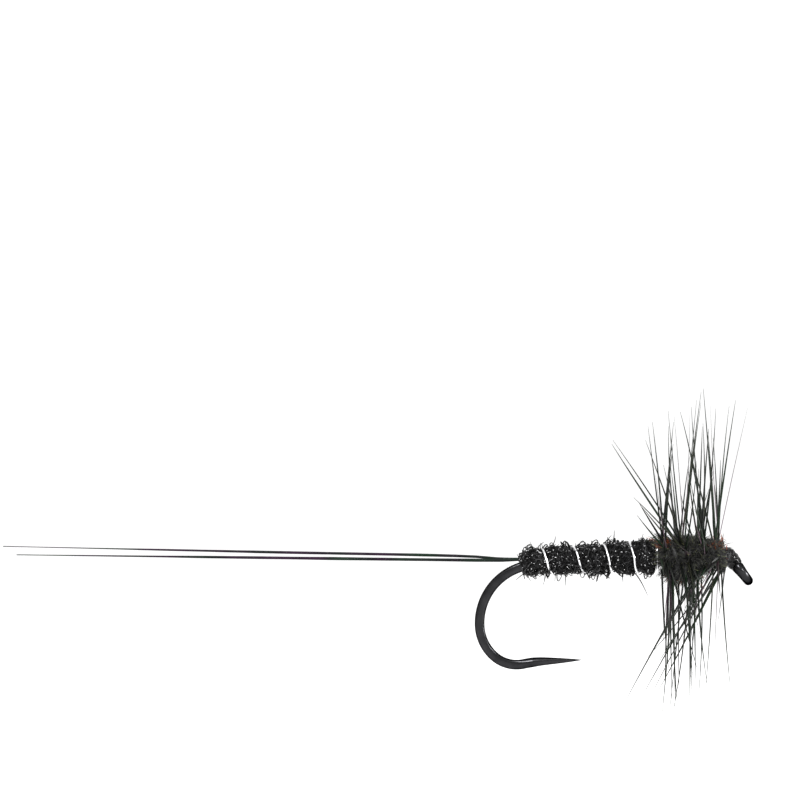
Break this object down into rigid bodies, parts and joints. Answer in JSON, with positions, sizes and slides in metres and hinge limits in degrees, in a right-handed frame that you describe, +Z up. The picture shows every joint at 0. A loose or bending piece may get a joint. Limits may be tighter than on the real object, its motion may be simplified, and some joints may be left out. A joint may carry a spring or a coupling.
{
  "type": "dry fly",
  "caption": "Dry fly on a barbless down-eye hook: long twin tails, dubbed and wire-ribbed abdomen, peacock-herl thorax with a wound hackle, varnished thread head.",
  "frame": {"origin": "centre of the hook eye", "axes": "+X along the shank from the tail towards the eye, +Z up away from the hook point, +Y to the fly's left-hand side seen with the eye pointing away"},
  "size_m": [0.0397, 0.0185, 0.0177],
  "materials": {
    "hook_wire": "black nickel plate on spring steel wire, semi-gloss",
    "tying_thread": "waxed black tying thread",
    "tail_fibre": "smooth black tapered fibre with a faint sheen",
    "rib_wire": "bright silver wire",
    "dubbing": "matt black fur dubbing with curled fibres",
    "peacock_herl": "dark bronze-green herl with rust-red barbule tips",
    "hackle": "glossy black cock hackle with a faint green and brown sheen",
    "head_varnish": "clear varnish over black thread"
  },
  "bodies": {
    "root": {"hook": "hook_wire", "thread_base": "tying_thread", "tail_fibre_upper": "tail_fibre", "tail_fibre_lower": "tail_fibre", "tail_lashing": "tying_thread", "rib_wire": "rib_wire", "abdomen_dubbing": "dubbing", "rib_tie_off": "tying_thread", "thorax_tie_in": "tying_thread", "peacock_herl_1": "peacock_herl", "peacock_herl_2": "peacock_herl", "hackle_feather": "hackle", "head_wraps": "tying_thread", "whip_finish": "tying_thread", "head_varnish": "head_varnish"}
  },
  "joints": []
}
